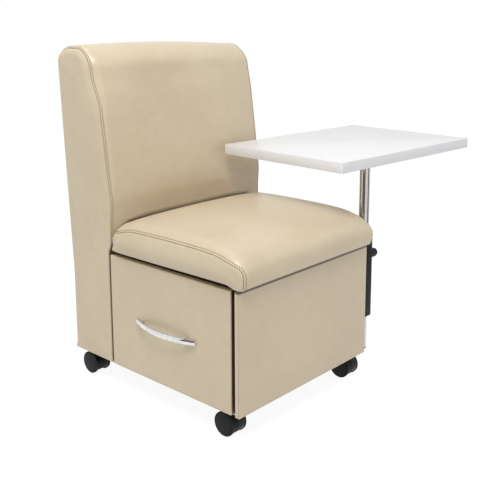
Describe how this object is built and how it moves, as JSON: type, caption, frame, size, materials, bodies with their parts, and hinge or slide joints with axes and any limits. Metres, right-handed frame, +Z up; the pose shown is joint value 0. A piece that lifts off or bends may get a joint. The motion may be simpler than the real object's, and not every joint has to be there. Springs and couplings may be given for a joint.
{
  "type": "manicure chair",
  "caption": "Low upholstered chair on casters with a drawer under the seat and a side table that slides and turns on a clamped post.",
  "frame": {"origin": "on the floor, under the middle of the object's outline seen from above", "axes": "+Z up; the sitter faces -Y; +X towards the side table; the drawer opens towards -X"},
  "size_m": [0.9418, 0.6312, 0.822],
  "materials": {
    "vinyl": "beige upholstery vinyl over foam, fine grain, satin",
    "timber": "plain plywood and pine",
    "laminate": "white laminate on chipboard, satin",
    "edge_band": "white edge band, satin",
    "chrome": "polished chrome plate",
    "black_steel": "satin black powder coat",
    "zinc": "zinc plated steel",
    "black_plastic": "black moulded nylon, satin",
    "wheel_plastic": "black moulded wheel, satin"
  },
  "bodies": {
    "base": {"front_panel": "vinyl", "carcass_front_wall": "timber", "carcass_side_wall": "vinyl", "carcass_rear_wall": "timber", "carcass_bottom": "timber", "carcass_top_rail": "timber", "back_side_panel_left": "vinyl", "back_side_panel_right": "vinyl", "back_pad": "vinyl", "back_rear_panel": "vinyl", "back_bottom_board": "timber", "back_stile_left": "timber", "back_stile_right": "timber", "back_front_board": "timber", "back_top_rail": "timber", "seat_cushion": "vinyl", "seat_board": "timber", "runner_front": "zinc", "runner_rear": "zinc", "post_sleeve": "black_steel", "sleeve_bush_bottom": "black_plastic", "sleeve_bush_top": "black_plastic", "sleeve_bracket": "black_steel", "caster_plate_front_left": "zinc", "caster_plate_front_right": "zinc", "caster_plate_rear_left": "zinc", "caster_plate_rear_right": "zinc"},
    "drawer": {"drawer_front": "vinyl", "drawer_side_front": "timber", "drawer_side_rear": "timber", "drawer_back": "timber", "drawer_bottom": "timber", "drawer_handle": "chrome", "handle_screw_front": "zinc", "handle_screw_rear": "zinc", "slider_front": "zinc", "slider_rear": "zinc"},
    "post": {"table_post": "chrome", "post_end_plug": "black_plastic"},
    "table": {"table_board": "laminate", "table_edge_band": "edge_band", "table_flange": "black_steel"},
    "knob": {"clamp_knob": "black_plastic", "clamp_screw": "zinc"},
    "front_left_fork": {"caster_hood_front_left": "black_plastic", "caster_axle_front_left": "zinc"},
    "front_left_wheel_left": {"wheel_left_front_left": "wheel_plastic"},
    "front_left_wheel_right": {"wheel_right_front_left": "wheel_plastic"},
    "front_right_fork": {"caster_hood_front_right": "black_plastic", "caster_axle_front_right": "zinc"},
    "front_right_wheel_left": {"wheel_left_front_right": "wheel_plastic"},
    "front_right_wheel_right": {"wheel_right_front_right": "wheel_plastic"},
    "rear_left_fork": {"caster_hood_rear_left": "black_plastic", "caster_axle_rear_left": "zinc"},
    "rear_left_wheel_left": {"wheel_left_rear_left": "wheel_plastic"},
    "rear_left_wheel_right": {"wheel_right_rear_left": "wheel_plastic"},
    "rear_right_fork": {"caster_hood_rear_right": "black_plastic", "caster_axle_rear_right": "zinc"},
    "rear_right_wheel_left": {"wheel_left_rear_right": "wheel_plastic"},
    "rear_right_wheel_right": {"wheel_right_rear_right": "wheel_plastic"}
  },
  "joints": [
    {"name": "drawer_slide", "type": "slide", "parent": "base", "child": "drawer", "axis": [-1, 0, 0], "range_m": [0, 0.29]},
    {"name": "post_slide", "type": "slide", "parent": "base", "child": "post", "axis": [0, 0, 1], "range_m": [0, 0.2]},
    {"name": "table_turn", "type": "hinge", "parent": "post", "child": "table", "pos_m": [0.04536, -0.24954, 0.52], "axis": [0, 0, 1], "range_deg": [-180, 18]},
    {"name": "knob_turn", "type": "hinge", "parent": "base", "child": "knob", "pos_m": [0.0679, -0.24954, 0.297], "axis": [1, 0, 0], "range_deg": [0, 360]},
    {"name": "front_left_swivel", "type": "hinge", "parent": "base", "child": "front_left_fork", "pos_m": [-0.41264, -0.23804, 0.057], "axis": [0, 0, 1], "continuous": true},
    {"name": "front_left_spin_left", "type": "hinge", "parent": "front_left_fork", "child": "front_left_wheel_left", "pos_m": [-0.41264, -0.22404, 0.0275], "axis": [1, 0, 0], "continuous": true},
    {"name": "front_left_spin_right", "type": "hinge", "parent": "front_left_fork", "child": "front_left_wheel_right", "pos_m": [-0.41264, -0.22404, 0.0275], "axis": [1, 0, 0], "continuous": true},
    {"name": "front_right_swivel", "type": "hinge", "parent": "base", "child": "front_right_fork", "pos_m": [-0.01264, -0.25304, 0.057], "axis": [0, 0, 1], "continuous": true},
    {"name": "front_right_spin_left", "type": "hinge", "parent": "front_right_fork", "child": "front_right_wheel_left", "pos_m": [-0.01264, -0.23904, 0.0275], "axis": [1, 0, 0], "continuous": true},
    {"name": "front_right_spin_right", "type": "hinge", "parent": "front_right_fork", "child": "front_right_wheel_right", "pos_m": [-0.01264, -0.23904, 0.0275], "axis": [1, 0, 0], "continuous": true},
    {"name": "rear_left_swivel", "type": "hinge", "parent": "base", "child": "rear_left_fork", "pos_m": [-0.41264, 0.22526, 0.057], "axis": [0, 0, 1], "continuous": true},
    {"name": "rear_left_spin_left", "type": "hinge", "parent": "rear_left_fork", "child": "rear_left_wheel_left", "pos_m": [-0.41264, 0.23926, 0.0275], "axis": [1, 0, 0], "continuous": true},
    {"name": "rear_left_spin_right", "type": "hinge", "parent": "rear_left_fork", "child": "rear_left_wheel_right", "pos_m": [-0.41264, 0.23926, 0.0275], "axis": [1, 0, 0], "continuous": true},
    {"name": "rear_right_swivel", "type": "hinge", "parent": "base", "child": "rear_right_fork", "pos_m": [0.07136, 0.22526, 0.057], "axis": [0, 0, 1], "continuous": true},
    {"name": "rear_right_spin_left", "type": "hinge", "parent": "rear_right_fork", "child": "rear_right_wheel_left", "pos_m": [0.07136, 0.23926, 0.0275], "axis": [1, 0, 0], "continuous": true},
    {"name": "rear_right_spin_right", "type": "hinge", "parent": "rear_right_fork", "child": "rear_right_wheel_right", "pos_m": [0.07136, 0.23926, 0.0275], "axis": [1, 0, 0], "continuous": true}
  ]
}
